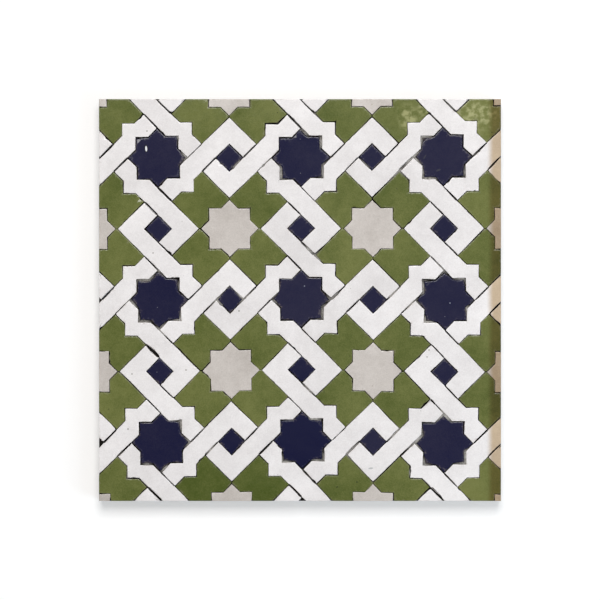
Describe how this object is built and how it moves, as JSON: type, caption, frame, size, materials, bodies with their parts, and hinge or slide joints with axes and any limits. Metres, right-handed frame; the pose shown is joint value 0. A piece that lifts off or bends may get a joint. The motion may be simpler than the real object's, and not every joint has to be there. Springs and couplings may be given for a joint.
{
  "type": "glazed mosaic tile panel",
  "caption": "Square wall or table-top panel of hand-cut glazed mosaic tiles in an interlaced star pattern, set in one bed of mortar.",
  "frame": {"origin": "middle of the back of the mortar bed", "axes": "+Z out of the glazed face, +X to the right and +Y up as the picture shows the face"},
  "size_m": [0.305, 0.305, 0.022],
  "materials": {
    "white_glaze": "white glaze over clay, glossy, chiselled edges",
    "green_glaze": "olive green glaze over clay, glossy, slightly mottled",
    "navy_glaze": "dark navy glaze over clay, glossy",
    "beige_glaze": "pale beige glaze over clay, glossy",
    "mortar": "grey cement mortar, rough"
  },
  "bodies": {
    "root": {"dark_square_below_1_1": "navy_glaze", "dark_square_below_1_2": "navy_glaze", "dark_square_below_1_3": "navy_glaze", "dark_square_below_2_1": "navy_glaze", "dark_square_below_2_2": "navy_glaze", "dark_square_below_2_3": "navy_glaze", "dark_square_right_of_1_1": "navy_glaze", "dark_square_right_of_1_2": "navy_glaze", "dark_square_right_of_2_1": "navy_glaze", "dark_square_right_of_2_2": "navy_glaze", "dark_square_right_of_3_1": "navy_glaze", "dark_square_right_of_3_2": "navy_glaze", "dark_star_1_1": "navy_glaze", "dark_star_1_2": "navy_glaze", "dark_star_1_3": "navy_glaze", "dark_star_2_1": "navy_glaze", "dark_star_2_2": "navy_glaze", "dark_star_2_3": "navy_glaze", "dark_star_3_1": "navy_glaze", "dark_star_3_2": "navy_glaze", "dark_star_3_3": "navy_glaze", "green_tiles_1_1": "green_glaze", "green_tiles_1_2": "green_glaze", "green_tiles_1_3": "green_glaze", "green_tiles_2_1": "green_glaze", "green_tiles_2_2": "green_glaze", "green_tiles_2_3": "green_glaze", "green_tiles_3_1": "green_glaze", "green_tiles_3_2": "green_glaze", "green_tiles_3_3": "green_glaze", "mortar_bed": "mortar", "pale_star_1_1": "beige_glaze", "pale_star_1_2": "beige_glaze", "pale_star_2_1": "beige_glaze", "pale_star_2_2": "beige_glaze", "pale_star_offcuts_bottom": "beige_glaze", "pale_star_offcuts_corners": "beige_glaze", "pale_star_offcuts_left": "beige_glaze", "pale_star_offcuts_right": "beige_glaze", "pale_star_offcuts_top": "beige_glaze", "white_strap_offcuts_bottom": "white_glaze", "white_strap_offcuts_left": "white_glaze", "white_strap_offcuts_right": "white_glaze", "white_strap_offcuts_top": "white_glaze", "white_straps_1_1": "white_glaze", "white_straps_1_2": "white_glaze", "white_straps_1_3": "white_glaze", "white_straps_2_1": "white_glaze", "white_straps_2_2": "white_glaze", "white_straps_2_3": "white_glaze", "white_straps_3_1": "white_glaze", "white_straps_3_2": "white_glaze", "white_straps_3_3": "white_glaze"}
  },
  "joints": []
}
